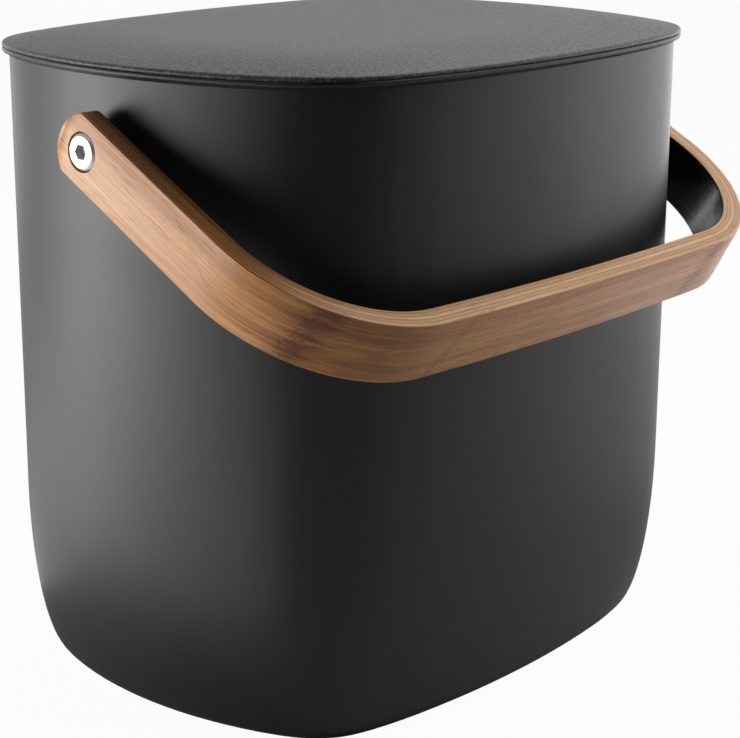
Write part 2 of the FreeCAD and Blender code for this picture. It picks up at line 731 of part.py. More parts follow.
os.makedirs("parts", exist_ok=True)
for part in parts:
    part.Shape.exportStep(f"parts/{part.Label}.step")
    box = part.Shape.BoundBox
    print(
        f"{part.Label}: {len(part.Shape.Solids)} solid, {part.Shape.Volume / 1000:.2f} cm3,"
        f" x {box.XMin:.1f} {box.XMax:.1f}, y {box.YMin:.1f} {box.YMax:.1f},"
        f" z {box.ZMin:.1f} {box.ZMax:.1f}"
    )
print(f"pivot axis at {fitted.pivot_height:.2f}, handle hangs {hang_angle():.2f} degrees below level")
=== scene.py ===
import json
import math

import bmesh
import bpy
from mathutils import Euler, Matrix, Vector


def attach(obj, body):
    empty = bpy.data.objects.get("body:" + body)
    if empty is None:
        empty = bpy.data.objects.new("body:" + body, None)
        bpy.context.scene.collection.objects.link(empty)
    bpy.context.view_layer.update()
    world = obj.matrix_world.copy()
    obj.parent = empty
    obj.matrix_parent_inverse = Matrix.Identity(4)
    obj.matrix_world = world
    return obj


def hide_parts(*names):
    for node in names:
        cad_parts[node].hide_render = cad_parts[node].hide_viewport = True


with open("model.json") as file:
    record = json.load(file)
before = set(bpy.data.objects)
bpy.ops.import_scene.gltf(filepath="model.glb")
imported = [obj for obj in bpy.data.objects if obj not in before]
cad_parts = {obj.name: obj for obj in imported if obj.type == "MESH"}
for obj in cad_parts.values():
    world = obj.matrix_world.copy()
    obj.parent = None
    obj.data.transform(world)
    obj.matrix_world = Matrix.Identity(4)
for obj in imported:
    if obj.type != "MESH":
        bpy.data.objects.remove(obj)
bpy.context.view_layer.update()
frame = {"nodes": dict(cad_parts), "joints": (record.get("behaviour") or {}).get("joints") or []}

# Sizes in metres and angles in degrees, in the frame of the CAD model

PLY_NODES = (
    "handle_ply_outer",
    "handle_ply_second",
    "handle_ply_middle",
    "handle_ply_fourth",
    "handle_ply_inner",
)
PLY = 0.00135
HANDLE_THICKNESS = PLY * len(PLY_NODES)
HANDLE_WIDTH = 0.0193
HANDLE_REACH = 0.1011
NOSE_REACH = 0.00975
NOSE_RADIUS = 0.012
NOSE_CORNER_RADIUS = 0.0025
BEND_RADIUS = 0.0456
CROSSBAR_BOW_RADIUS = 2.04
ARM_SPLAY = 1.08
ARM_INNER_FACE = 0.10345
HANG_ANGLE = 28.93
OUTER_EASE = 0.0005
INNER_EASE = 0.001
GLUE_LINE_EASE = 0.00008
HEAD_BORE = 0.0056
ARM_BORE = 0.00455
HEAD_PLIES = 2

PIVOT = Vector(next(joint["pos_m"] for joint in frame["joints"] if joint["name"] == "handle_swing"))

# Fineness of the meshes, the angles past which an edge stays sharp, and what counts as one point

BEND_STEPS = 64
CROSSBAR_STEPS = 16
STATIONS = 480
PROFILE_CORNER_STEPS = 4
PROFILE_POINTS = 4 * (PROFILE_CORNER_STEPS + 1)
BORE_STEPS = 96
STRIP_CREASE = 40
SHELL_CREASE = 25
WELD = 1e-6

# Camera of the photograph: its sensor in millimetres, focal length and centre of the image in pixels

IMAGE_WIDTH = 740
IMAGE_HEIGHT = 738
SENSOR = 36.0
CAMERA_AZIMUTH = -48.9
CAMERA_ELEVATION = 14.64
CAMERA_ROLL = 0.10
CAMERA_DISTANCE = 0.659
CAMERA_TARGET = Vector((0, 0, 0.0946))
CAMERA_NEAR = 0.01
FOCAL_PIXELS = 2085.3
CENTRE_X = 350.83
CENTRE_Y = 336.88

WHITE = (1, 1, 1, 1)
# Middle of what a noise gives
MIDDLE = 0.5
# Added to a whole number, so that it can't be cut down to the one below
INDEX_MARGIN = 0.25
# Sockets of a Mix node that mixes colours
MIX_FACTOR, MIX_FIRST, MIX_SECOND, MIX_RESULT = 0, 6, 7, 2


class Signal:
    """An output socket in a node tree; arithmetic on it adds Math nodes."""

    def __init__(self, tree, socket):
        self.tree = tree
        self.socket = socket

    def output(self, name):
        """Another output of the same node."""
        return Signal(self.tree, self.socket.node.outputs[name])

    def __add__(self, other):
        return self.tree.math("ADD", self, other)

    def __radd__(self, other):
        return self.tree.math("ADD", other, self)

    def __sub__(self, other):
        return self.tree.math("SUBTRACT", self, other)

    def __rsub__(self, other):
        return self.tree.math("SUBTRACT", other, self)

    def __mul__(self, other):
        return self.tree.math("MULTIPLY", self, other)

    def __rmul__(self, other):
        return self.tree.math("MULTIPLY", other, self)

    def __truediv__(self, other):
        return self.tree.math("DIVIDE", self, other)

    def __rtruediv__(self, other):
        return self.tree.math("DIVIDE", other, self)


class Tree:
    """A node tree that is written as expressions."""

    def __init__(self, node_tree):
        self.nodes = node_tree.nodes
        self.links = node_tree.links

    def node(self, kind, settings=None, inputs=None, output=0):
        """Add a node: its settings first, then the values or links of its sockets."""
        made = self.nodes.new(kind)
        for name, value in (settings or {}).items():
            setattr(made, name, value)
        for name, value in (inputs or {}).items():
            if isinstance(value, Signal):
                self.links.new(value.socket, made.inputs[name])
            else:
                made.inputs[name].default_value = value
        return Signal(self, made.outputs[output])

    def math(self, operation, *operands):
        return self.node("ShaderNodeMath", {"operation": operation}, dict(enumerate(operands)))

    def vector(self, operation, *operands):
        return self.node("ShaderNodeVectorMath", {"operation": operation}, dict(enumerate(operands)))

    def mix(self, factor, first, second):
        """Colour between two colours."""
        inputs = {MIX_FACTOR: factor, MIX_FIRST: first, MIX_SECOND: second}
        return self.node("ShaderNodeMix", {"data_type": "RGBA"}, inputs, MIX_RESULT)

    def ramp(self, value, low, high):
        """Smooth rise from 0 at low to 1 at high."""
        return self.node(
            "ShaderNodeMapRange",
            {"interpolation_type": "SMOOTHSTEP"},
            {"Value": value, "From Min": low, "From Max": high},
        )

    def noise(self, place, scale, detail=2.0, roughness=0.5):
        return self.node(
            "ShaderNodeTexNoise",
            {"normalize": True},
            {"Vector": place, "Scale": scale, "Detail": detail, "Roughness": roughness},
        )

    def split(self, vector):
        x = self.node("ShaderNodeSeparateXYZ", {}, {0: vector})
        return x, x.output("Y"), x.output("Z")

    def joined(self, x, y, z):
        return self.node("ShaderNodeCombineXYZ", {}, {0: x, 1: y, 2: z})


class Finish(Tree):
    """A material: its surface shader, and the textures that feed it."""

    def __init__(self, name):
        self.material = bpy.data.materials.new(name)
        self.material.use_nodes = True
        super().__init__(self.material.node_tree)
        self.shader = self.nodes["Principled BSDF"]

    def object_place(self):
        return self.node("ShaderNodeTexCoord", {}, {}, "Object")

    def bump(self, height, distance):
        return self.node("ShaderNodeBump", {}, {"Height": height, "Distance": distance, "Strength": 1.0})

    def surface(self, **sockets):
        """Set or link the shader's sockets, with underscores for the spaces in their names."""
        for name, value in sockets.items():
            socket = self.shader.inputs[name.replace("_", " ")]
            if isinstance(value, Signal):
                self.links.new(value.socket, socket)
            else:
                socket.default_value = value
        return self.material


# Moulded plastic: detail of its grain and clouds, clouds per metre, the grain's heights where light
# specks begin and are full, and how far clouds and grain change the roughness
MOULD_DETAIL = 3.0
GRAIN_BREAKUP = 0.6
CLOUD_SCALE = 14.0
SPECK_RANGE = (0.45, 0.65)
CLOUD_ROUGHNESS = 0.08
GRAIN_ROUGHNESS = 0.1


def moulded_plastic(name, dark, light, grain_size, grain_depth, roughness, shine):
    """Matte moulded plastic with a fine spark-eroded grain."""
    finish = Finish(name)
    place = finish.object_place()
    grain = finish.noise(place, 1 / grain_size, MOULD_DETAIL, GRAIN_BREAKUP)
    cloud = finish.noise(place, CLOUD_SCALE, MOULD_DETAIL)
    speck = finish.ramp(grain, *SPECK_RANGE)
    colour = finish.mix(speck * (MIDDLE + cloud), dark, light)
    return finish.surface(
        Base_Color=colour,
        Roughness=roughness + CLOUD_ROUGHNESS * (cloud - MIDDLE) + GRAIN_ROUGHNESS * (grain - MIDDLE),
        Specular_IOR_Level=shine,
        Normal=finish.bump(grain, grain_depth),
    )


# Silicone and nylon: patches of bloom per metre, and what bloom does to colour, roughness and relief
BLOOM_SCALE = 400.0
BLOOM_LIGHTENS = 1.4
BLOOM_ROUGHNESS = 0.15
BLOOM_DEPTH = 0.00003


def plain_soft(name, colour, roughness):
    """Soft or waxy moulding with a faint bloom."""
    finish = Finish(name)
    bloom = finish.noise(finish.object_place(), BLOOM_SCALE, MOULD_DETAIL)
    brighter = tuple(min(1.0, channel * BLOOM_LIGHTENS) for channel in colour[:3]) + (1.0,)
    return finish.surface(
        Base_Color=finish.mix(bloom, colour, brighter),
        Roughness=roughness + BLOOM_ROUGHNESS * (bloom - MIDDLE),
        Normal=finish.bump(bloom, BLOOM_DEPTH),
    )


# Stainless steel: its two greys, and turning lines and stains per metre with what they do
STEEL_DARK = (0.62, 0.62, 0.63, 1)
STEEL_LIGHT = (0.74, 0.74, 0.75, 1)
STEEL_ROUGHNESS = 0.48
LINE_SCALE = 9000.0
LINE_ROUGHNESS = 0.12
LINE_DEPTH = 0.000004
STAIN_SCALE = 350.0
STAIN_ROUGHNESS = 0.06


def turned_stainless(name):
    """Satin stainless steel with fine turning lines about the pivot axis."""
    finish = Finish(name)
    place = finish.object_place()
    x, y, z = finish.split(place)
    height = z - PIVOT.z
    radius = finish.math("SQRT", y * y + height * height)
    lines = finish.noise(finish.joined(radius, x, 0.0), LINE_SCALE)
    stain = finish.noise(place, STAIN_SCALE)
    return finish.surface(
        Base_Color=finish.mix(stain, STEEL_DARK, STEEL_LIGHT),
        Metallic=1.0,
        Roughness=STEEL_ROUGHNESS + LINE_ROUGHNESS * (lines - MIDDLE) + STAIN_ROUGHNESS * stain,
        Normal=finish.bump(lines, LINE_DEPTH),
    )


# Bamboo: length, width and detail of what runs along the strip
BANDS = (0.12, 0.0032, 2.0)
THREADS = (0.03, 0.00045, 3.0)
PORES = (0.006, 0.0003, 1.0)
RING_BREAKS = (0.009, 0.0012, 3.0)
RING_DOTS = (0.0012, 0.0007, 1.0)
FIBRE_BREAKUP = 0.55
# How far apart in the pattern one strip is from the next
STRIP_SHIFT = (1.7, 0.31, 0.13)
# Share of bands and threads in the tone, and where in their noise these begin and are full
BAND_SHARE = 0.45
THREAD_SHARE = 0.55
TONE_RANGE = (0.34, 0.66)
PORE_RANGE = (0.62, 0.74)
BREAK_RANGE = (0.3, 0.75)
DOT_RANGE = (0.58, 0.68)

# Colours of dark and light fibres: on the face, at its end with painted light, on the edges, which are
# paler cut strips lightened further with painted light from above, and at the edges' other end with
# painted shade
FACE_TONES = ((0.38, 0.14, 0.034, 1), (0.71, 0.33, 0.094, 1))
PAINTED_LIGHT_TONES = ((0.6, 0.27, 0.125, 1), (0.97, 0.5, 0.27, 1))
EDGE_TONES_WITH_PAINTED_LIGHT = ((0.74, 0.37, 0.13), (0.95, 0.53, 0.24))
PAINTED_SHADE_TONES = ((0.2, 0.07, 0.018, 1), (0.5, 0.22, 0.06, 1))
PORE_COLOUR = (0.15, 0.055, 0.022, 1)
RING_COLOUR = (0.09, 0.028, 0.017, 1)
GLUE_COLOUR = (0.09, 0.033, 0.014, 1)
INNER_FACE_DARK_COLOUR = (0.012, 0.006, 0.0055, 1)
# How much lighter or darker each strip's edge is, from the outer face inwards
STRIP_TONES = (1.0, 0.8, 1.05, 0.75, 0.95)

# Distances along the handle from its middle where painted light on the face begins and is full, and
# where painted shade on the edges begins and is full
PAINTED_LIGHT_RANGE = (0.07, -0.05)
PAINTED_SHADE_RANGE = (0.09, 0.13)
# Depths in from the side where a strip's edge begins and is full, and from the inner face for its
# darkening
EDGE_BEGINS = 0.0005
EDGE_FULL = 0.0003
INNER_DARK_BEGINS = 0.0004
INNER_DARK_FULL = 0.0002
GLUE_LINE = 0.00007
# How strongly pores, growth rings and glue lines colour the bamboo
PORE_STRENGTH = 0.55
RING_STRENGTH = 0.85
GLUE_STRENGTH = 0.5

# Where growth rings cross the bamboo: place along the handle from its middle, lean, depth of colour
# and half width; beside the darkest one lies a smoked band
KNUCKLES = (
    (-0.063, -0.6, 0.7, 0.004),
    (0.060, -0.67, 0.35, 0.0015),
    (0.106, -0.3, 0.85, 0.005),
)
SMOKE_PLACE = 0.09
SMOKE_REACH = 0.025
# What is left of a ring and of the smoke where nothing adds to it, what breaks and dots add,
# how far a ring wanders with threads and bands, and how much of it fades on the edges
RING_BASE = 0.4
RING_BREAK = 0.6
RING_DOT = 0.8
SMOKE_BASE = 0.4
SMOKE_BREAK = 0.3
THREAD_WANDER = 0.9
BAND_WANDER = 0.8
RING_FADE = 0.8

# Lacquer: its roughness and gloss, what threads, pores and the darkened inner face do to them, and the
# fibres' relief
LACQUER_ROUGHNESS = 0.38
THREAD_ROUGHNESS = 0.14
PORE_ROUGHNESS = 0.1
INNER_DARK_SMOOTHS = 0.12
LACQUER_GLOSS = 0.35
COAT_WEIGHT = 0.15
COAT_ROUGHNESS = 0.2
FIBRE_RELIEF = 0.00005
PORE_RELIEF = 0.6
INNER_DARK_FILLS = 0.8


def bamboo(name, seed, shade, dark_inner_face=False):
    """Lacquered bamboo with fibres along the strip, pores and dark growth rings.

    It reads the strip attribute: distance along the handle from its middle, across its width,
    and depth below the outer face.
    """
    finish = Finish(name)
    strip = finish.node("ShaderNodeAttribute", {"attribute_name": "strip"}, {}, "Vector")
    along, across, depth = finish.split(strip)
    moved = finish.vector("ADD", strip, tuple(seed * shift for shift in STRIP_SHIFT))

    def fibres(length, width, detail):
        stretched = finish.vector("MULTIPLY", moved, (1 / length, 1 / width, 1 / width))
        return finish.noise(stretched, 1.0, detail, FIBRE_BREAKUP)

    def hump(distance):
        return finish.math("EXPONENT", -1.0 * (distance * distance))

    bands = fibres(*BANDS)
    threads = fibres(*THREADS)
    pores = finish.ramp(fibres(*PORES), *PORE_RANGE)
    tone = finish.ramp(BAND_SHARE * bands + THREAD_SHARE * threads, *TONE_RANGE)

    # painted light makes the face paler towards one end, and painted shade darkens the edges at the
    # other
    face = finish.mix(tone, *FACE_TONES)
    # painted light: the face is lightened towards one end
    painted_light = finish.mix(tone, *PAINTED_LIGHT_TONES)
    face = finish.mix(finish.ramp(along, *PAINTED_LIGHT_RANGE), face, painted_light)
    # the edges are paler cut strips, lightened further with painted light from above
    edge_tones_with_painted_light = [tuple(shade * channel for channel in colour) + (1.0,) for colour in EDGE_TONES_WITH_PAINTED_LIGHT]
    edge = finish.mix(tone, *edge_tones_with_painted_light)
    # painted shade: the edges darken towards the other end of the handle
    painted_shade = finish.mix(tone, *PAINTED_SHADE_TONES)
    edge = finish.mix(finish.ramp(along, *PAINTED_SHADE_RANGE), edge, painted_shade)
    side = HANDLE_WIDTH / 2
    on_edge = finish.ramp(finish.math("ABSOLUTE", across), side - EDGE_BEGINS, side - EDGE_FULL)
    colour = finish.mix(on_edge, face, edge)
    colour = finish.mix(pores * PORE_STRENGTH, colour, PORE_COLOUR)

    # growth rings wander with the fibres, break up into dots and fade on the edges
    wander = THREAD_WANDER * (threads - MIDDLE) + BAND_WANDER * (bands - MIDDLE)
    ring = 0.0
    for place, lean, strength, half_width in KNUCKLES:
        ring = ring + strength * hump((along - place - lean * across) / half_width + wander)
    broken = finish.ramp(fibres(*RING_BREAKS), *BREAK_RANGE)
    dots = finish.ramp(fibres(*RING_DOTS), *DOT_RANGE)
    smoke = hump((along - SMOKE_PLACE) / SMOKE_REACH + wander) * (SMOKE_BASE + SMOKE_BREAK * broken)
    ring = ring * (RING_BASE + RING_BREAK * broken + RING_DOT * dots) + smoke
    ring = finish.math("MINIMUM", ring, 1.0) * (1 - RING_FADE * on_edge)
    colour = finish.mix(ring * RING_STRENGTH, colour, RING_COLOUR)

    # glue lines show on the edges of the handle
    in_ply = finish.math("PINGPONG", depth, PLY / 2)
    glue = on_edge * (1 - finish.ramp(in_ply, GLUE_LINE, 2 * GLUE_LINE))
    colour = finish.mix(glue * GLUE_STRENGTH, colour, GLUE_COLOUR)

    roughness = LACQUER_ROUGHNESS + THREAD_ROUGHNESS * (threads - MIDDLE) + PORE_ROUGHNESS * pores
    relief = threads - PORE_RELIEF * pores
    if dark_inner_face:
        # the inner face is darkened nearly to black, made smoother and given less relief
        stain = finish.ramp(depth, HANDLE_THICKNESS - INNER_DARK_BEGINS, HANDLE_THICKNESS - INNER_DARK_FULL)
        colour = finish.mix(stain, colour, INNER_FACE_DARK_COLOUR)
        roughness = roughness - INNER_DARK_SMOOTHS * stain
        relief = relief * (1 - INNER_DARK_FILLS * stain)
    return finish.surface(
        Base_Color=colour,
        Roughness=roughness,
        Specular_IOR_Level=LACQUER_GLOSS,
        Coat_Weight=COAT_WEIGHT,
        Coat_Roughness=COAT_ROUGHNESS,
        Normal=finish.bump(relief, FIBRE_RELIEF),
    )


def handle_outline():
    """Points along the handle's outer face, drawn level about the pivot, right end to left end."""
    splay = math.radians(ARM_SPLAY)
    along = Vector((math.sin(splay), -math.cos(splay)))
    outward = Vector((math.cos(splay), math.sin(splay)))
    outer_pivot = Vector((ARM_INNER_FACE + HANDLE_THICKNESS / math.cos(splay), 0))
    bow_centre = Vector((0, CROSSBAR_BOW_RADIUS - HANDLE_REACH))
    # the bend touches the arm and the bowed crossbar
    start = outer_pivot - outward * BEND_RADIUS - bow_centre
    inner_radius = CROSSBAR_BOW_RADIUS - BEND_RADIUS
    run = start.dot(along)
    arm = -run + math.sqrt(run ** 2 - start.length_squared + inner_radius ** 2)
    bend_centre = outer_pivot - outward * BEND_RADIUS + along * arm
    to_bend = bend_centre - bow_centre
    bar_turn = math.atan2(to_bend.y, to_bend.x)
    middle_turn = -math.pi / 2

    def arc(centre, radius, first, last, steps):
        turns = [first + (last - first) * step / steps for step in range(steps + 1)]
        return [centre + radius * Vector((math.cos(turn), math.sin(turn))) for turn in turns]

    right = [outer_pivot - along * NOSE_REACH]
    right += arc(bend_centre, BEND_RADIUS, splay, bar_turn, BEND_STEPS)
    right += arc(bow_centre, CROSSBAR_BOW_RADIUS, bar_turn, middle_turn, CROSSBAR_STEPS)[1:]
    left = [Vector((-point.x, point.y)) for point in reversed(right[:-1])]
    return right + left


def ply_tree():
    """Geometry nodes that bend one strip along the handle's outline."""
    group = bpy.data.node_groups.new("bent_ply", "GeometryNodeTree")
    sizes = (
        "Depth",
        "Thickness",
        "Width",
        "Nose Radius",
        "Nose Corner Radius",
        "Nose Turn",
        "Outer Ease",
        "Inner Ease",
        "Bore Radius",
        "Hang Angle",
        "Pivot Height",
    )
    sockets = {"Path": "NodeSocketGeometry"}
    sockets.update({name: "NodeSocketFloat" for name in sizes})
    sockets["Finish"] = "NodeSocketMaterial"
    for name, kind in sockets.items():
        group.interface.new_socket(name, in_out="INPUT", socket_type=kind)
    group.interface.new_socket("Ply", in_out="OUTPUT", socket_type="NodeSocketGeometry")
    tree = Tree(group)
    given = tree.node("NodeGroupInput")
    path = tree.node("GeometryNodeMeshToCurve", {}, {"Mesh": given.output("Path")})
    width, thickness = given.output("Width"), given.output("Thickness")
    grid = tree.node(
        "GeometryNodeMeshGrid",
        {},
        {"Size X": 1.0, "Size Y": 1.0, "Vertices X": STATIONS, "Vertices Y": PROFILE_POINTS + 1},
    )
    # on the grid this reads along and round the strip, and on the section which face a corner is on
    position = tree.node("GeometryNodeInputPosition")
    place_x, place_y, _ = tree.split(position)

    # along the strip: the arc of a round end, its corner arc, then the straight and bent run
    length = tree.node("GeometryNodeCurveLength", {}, {"Curve": path})
    nose_radius, corner_radius = given.output("Nose Radius"), given.output("Nose Corner Radius")
    nose_turn = given.output("Nose Turn")
    nose_edge = nose_radius * nose_turn
    corner_turn = math.pi / 2 - nose_turn
    end_edge = nose_edge + corner_radius * corner_turn
    nose_depth = nose_radius * (1 - tree.math("COSINE", nose_turn))
    end_depth = nose_depth + corner_radius * tree.math("COSINE", nose_turn)
    edge_length = length - 2 * end_depth + 2 * end_edge
    travelled = (place_x + 0.5) * edge_length
    nearest = tree.math("MINIMUM", travelled, edge_length - travelled)
    on_nose = tree.math("MINIMUM", nearest / nose_radius, nose_turn)
    past_nose = tree.math("MAXIMUM", nearest - nose_edge, 0.0)
    turn = on_nose + tree.math("MINIMUM", past_nose / corner_radius, corner_turn)
    nose_cosine, turn_cosine = tree.math("COSINE", on_nose), tree.math("COSINE", turn)
    nose_sine, turn_sine = tree.math("SINE", on_nose), tree.math("SINE", turn)
    rounded = nose_radius * (1 - nose_cosine) + corner_radius * (nose_cosine - turn_cosine)
    from_end = rounded + tree.math("MAXIMUM", nearest - end_edge, 0.0)
    second_half = tree.math("GREATER_THAN", travelled, edge_length / 2)
    along = from_end + second_half * (length - 2 * from_end)
    half_there = nose_radius * nose_sine + corner_radius * (turn_sine - nose_sine)
    fullness = half_there / (width / 2)

    # round the strip: a rectangle with eased corners
    at_inner = tree.math("GREATER_THAN", place_x, 0.0)
    outer_ease, inner_ease = given.output("Outer Ease"), given.output("Inner Ease")
    ease = outer_ease + at_inner * (inner_ease - outer_ease)
    rectangle = tree.node(
        "GeometryNodeCurvePrimitiveQuadrilateral",
        {"mode": "RECTANGLE"},
        {"Width": thickness, "Height": width},
    )
    section = tree.node(
        "GeometryNodeFilletCurve",
        {"mode": "POLY"},
        {"Curve": rectangle, "Count": PROFILE_CORNER_STEPS, "Radius": ease},
    )
    corner = tree.math("MODULO", tree.math("ROUND", (place_y + 0.5) * PROFILE_POINTS), PROFILE_POINTS)
    section_point = tree.node(
        "GeometryNodeSampleIndex",
        {"data_type": "FLOAT_VECTOR", "domain": "POINT"},
        {"Geometry": section, "Value": position, "Index": corner + INDEX_MARGIN},
    )
    below, sideways, _ = tree.split(section_point)
    depth = given.output("Depth") + thickness / 2 + below
    across = sideways * fullness

    # bend it
    sample = tree.node("GeometryNodeSampleCurve", {"mode": "LENGTH"}, {"Curves": path, "Length": along})
    centre, tangent = sample.output("Position"), sample.output("Tangent")
    inward = tree.vector("CROSS_PRODUCT", tangent, (0.0, 0.0, 1.0))
    sunk = tree.vector("MULTIPLY_ADD", inward, tree.joined(depth, depth, depth), centre)
    bent = tree.vector("ADD", sunk, tree.joined(0.0, 0.0, across))
    marked = tree.node(
        "GeometryNodeStoreNamedAttribute",
        {"data_type": "FLOAT_VECTOR", "domain": "POINT"},
        {"Geometry": grid, "Name": "strip", "Value": tree.joined(along - length / 2, across, depth)},
    )
    strip = tree.node("GeometryNodeSetPosition", {}, {"Geometry": marked, "Position": bent})
    closed = tree.node("GeometryNodeMergeByDistance", {}, {"Geometry": strip, "Distance": WELD})

    # bore both arms with one rod, then mark the cut mesh again from the whole strip
    rod = tree.node(
        "GeometryNodeMeshCylinder",
        {"fill_type": "NGON"},
        {"Vertices": BORE_STEPS, "Radius": given.output("Bore Radius"), "Depth": length},
    )
    turned = tree.node(
        "GeometryNodeTransform",
        {},
        {"Geometry": rod, "Rotation": Euler((0.0, math.pi / 2, 0.0))},
    )
    bored = tree.node(
        "GeometryNodeMeshBoolean",
        {"operation": "DIFFERENCE", "solver": "MANIFOLD"},
        {"Mesh 1": closed, "Mesh 2": turned},
    )
    mark = tree.node("GeometryNodeInputNamedAttribute", {"data_type": "FLOAT_VECTOR"}, {"Name": "strip"})
    mark_there = tree.node(
        "GeometryNodeSampleNearestSurface",
        {"data_type": "FLOAT_VECTOR"},
        {"Mesh": closed, "Value": mark},
    )
    marked_again = tree.node(
        "GeometryNodeStoreNamedAttribute",
        {"data_type": "FLOAT_VECTOR", "domain": "POINT"},
        {"Geometry": bored, "Name": "strip", "Value": mark_there},
    )
    hung = tree.node(
        "GeometryNodeTransform",
        {},
        {
            "Geometry": marked_again,
            "Translation": tree.joined(0.0, 0.0, given.output("Pivot Height")),
            "Rotation": tree.joined(given.output("Hang Angle"), 0.0, 0.0),
        },
    )
    whole = tree.node("GeometryNodeRealizeInstances", {}, {"Geometry": hung})
    painted = tree.node(
        "GeometryNodeSetMaterial",
        {},
        {"Geometry": whole, "Material": given.output("Finish")},
    )
    sink = tree.nodes.new("NodeGroupOutput")
    tree.links.new(painted.socket, sink.inputs["Ply"])
    return group


def made_with(group, source, values):
    """Plain mesh that a geometry node tree makes from a source mesh."""
    carrier = bpy.data.objects.new("carrier", source)
    bpy.context.scene.collection.objects.link(carrier)
    modifier = carrier.modifiers.new("tree", "NODES")
    modifier.node_group = group
    for item in group.interface.items_tree:
        if item.in_out == "INPUT" and item.name in values:
            modifier[item.identifier] = values[item.name]
    bpy.context.view_layer.update()
    depsgraph = bpy.context.evaluated_depsgraph_get()
    mesh = bpy.data.meshes.new_from_object(carrier.evaluated_get(depsgraph), depsgraph=depsgraph)
    carrier.modifiers.remove(modifier)
    bpy.data.objects.remove(carrier)
    return mesh


def handle_plies():
    """The five strips of the handle, each in place of its CAD ply."""
    outline = handle_outline()
    points = [(*point, 0.0) for point in outline]
    runs = [(index, index + 1) for index in range(len(outline) - 1)]
    path = bpy.data.meshes.new("handle_outline")
    path.from_pydata(points, runs, [])
    group = ply_tree()
    corner_rise = HANDLE_WIDTH / 2 - NOSE_CORNER_RADIUS
    nose_turn = math.asin(corner_rise / (NOSE_RADIUS - NOSE_CORNER_RADIUS))
    last = len(PLY_NODES) - 1
    for order, node in enumerate(PLY_NODES):
        dark_inner_face = order == last
        values = {
            "Depth": order * PLY,
            "Thickness": PLY,
            "Width": HANDLE_WIDTH,
            "Nose Radius": NOSE_RADIUS,
            "Nose Corner Radius": NOSE_CORNER_RADIUS,
            "Nose Turn": nose_turn,
            "Outer Ease": OUTER_EASE if order == 0 else GLUE_LINE_EASE,
            "Inner Ease": INNER_EASE if order == last else GLUE_LINE_EASE,
            "Bore Radius": HEAD_BORE if order < HEAD_PLIES else ARM_BORE,
            "Hang Angle": math.radians(HANG_ANGLE),
            "Pivot Height": PIVOT.z,
            "Finish": bamboo(f"bamboo_{node}", order + 1, STRIP_TONES[order], dark_inner_face),
        }
        mesh = made_with(group, path, values)
        mesh.set_sharp_from_angle(angle=math.radians(STRIP_CREASE))
        strip = bpy.data.objects.new(node.replace("handle_ply", "bamboo_strip"), mesh)
        bpy.context.scene.collection.objects.link(strip)
        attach(strip, "handle")
        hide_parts(node)


def dress(material, *nodes):
    """Give CAD nodes a finish in every slot they have."""
    for node in nodes:
        mesh = frame["nodes"][node].data
        for index in range(len(mesh.materials)):
            mesh.materials[index] = material


def smooth_shell(name, node, body, material):
    """Merged copy of a CAD node, shaded without seams where its arcs meet."""
    source = frame["nodes"][node].data
    places = [tuple(vertex.co) for vertex in source.vertices]
    triangles = [tuple(polygon.vertices) for polygon in source.polygons]
    mesh = bpy.data.meshes.new(name)
    mesh.from_pydata(places, [], triangles)
    welded = bmesh.new()
    welded.from_mesh(mesh)
    bmesh.ops.remove_doubles(welded, verts=welded.verts, dist=WELD)
    welded.to_mesh(mesh)
    welded.free()
    mesh.shade_smooth()
    mesh.set_sharp_from_angle(angle=math.radians(SHELL_CREASE))
    mesh.materials.append(material)
    shell = bpy.data.objects.new(name, mesh)
    bpy.context.scene.collection.objects.link(shell)
    weighted = shell.modifiers.new("weighted_normals", "WEIGHTED_NORMAL")
    weighted.keep_sharp = True
    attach(shell, body)
    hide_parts(node)


def around(azimuth, elevation, distance, target):
    """Point on a sphere round a target; azimuth 0 is in front, on -Y, and grows towards +X."""
    turn, rise = math.radians(azimuth), math.radians(elevation)
    level = math.cos(rise)
    return target + distance * Vector((math.sin(turn) * level, -math.cos(turn) * level, math.sin(rise)))


def softbox(name, place, aim, size, radiance):
    """Square lamp that faces a point, unseen by the camera."""
    lamp = bpy.data.lights.new(name, "AREA")
    lamp.shape = "SQUARE"
    lamp.size = size
    lamp.energy = radiance * math.pi * size ** 2
    holder = bpy.data.objects.new(name, lamp)
    bpy.context.scene.collection.objects.link(holder)
    holder.location = place
    holder.rotation_euler = (aim - place).to_track_quat("-Z", "Y").to_euler()
    holder.visible_camera = False


# Lamps as turn from the camera's azimuth and radiance: upright ones at the left, larger ones
# further off at the back, tilted ones above, and panels that lie on the floor and shine up
LEFT_BOXES = {"left": (-88, 11.6), "left_front": (-64, 4.6)}
LEFT_DISTANCE = 0.6
LEFT_SIZE = 0.2
BACK_BOXES = {
    "left_back": (-135, 2.2),
    "right": (95, 1.0),
    "right_mid": (120, 2.4),
    "right_back": (145, 3.4),
}
BACK_DISTANCE = 0.75
BACK_SIZE = 0.335
BACK_CENTRE = Vector((0, 0, 0.16))
HIGH_BOXES = {"front_high": (-40, 1.1), "right_high": (90, 4.0), "back_high": (140, 2.0)}
HIGH_RISE = 55
HIGH_DISTANCE = 0.9
HIGH_SIZE = 0.45
FLOOR_PANELS = {"left_panel": (-90, 1.0), "front_panel": (-60, 1.0), "right_panel": (130, 0.3)}
PANEL_DISTANCE = 0.34
PANEL_SIZE = 0.34
PANEL_CENTRE = Vector((0, 0, 0.006))
BIN_MIDDLE = Vector((0, 0, 0.1))
UP = Vector((0, 0, 1))


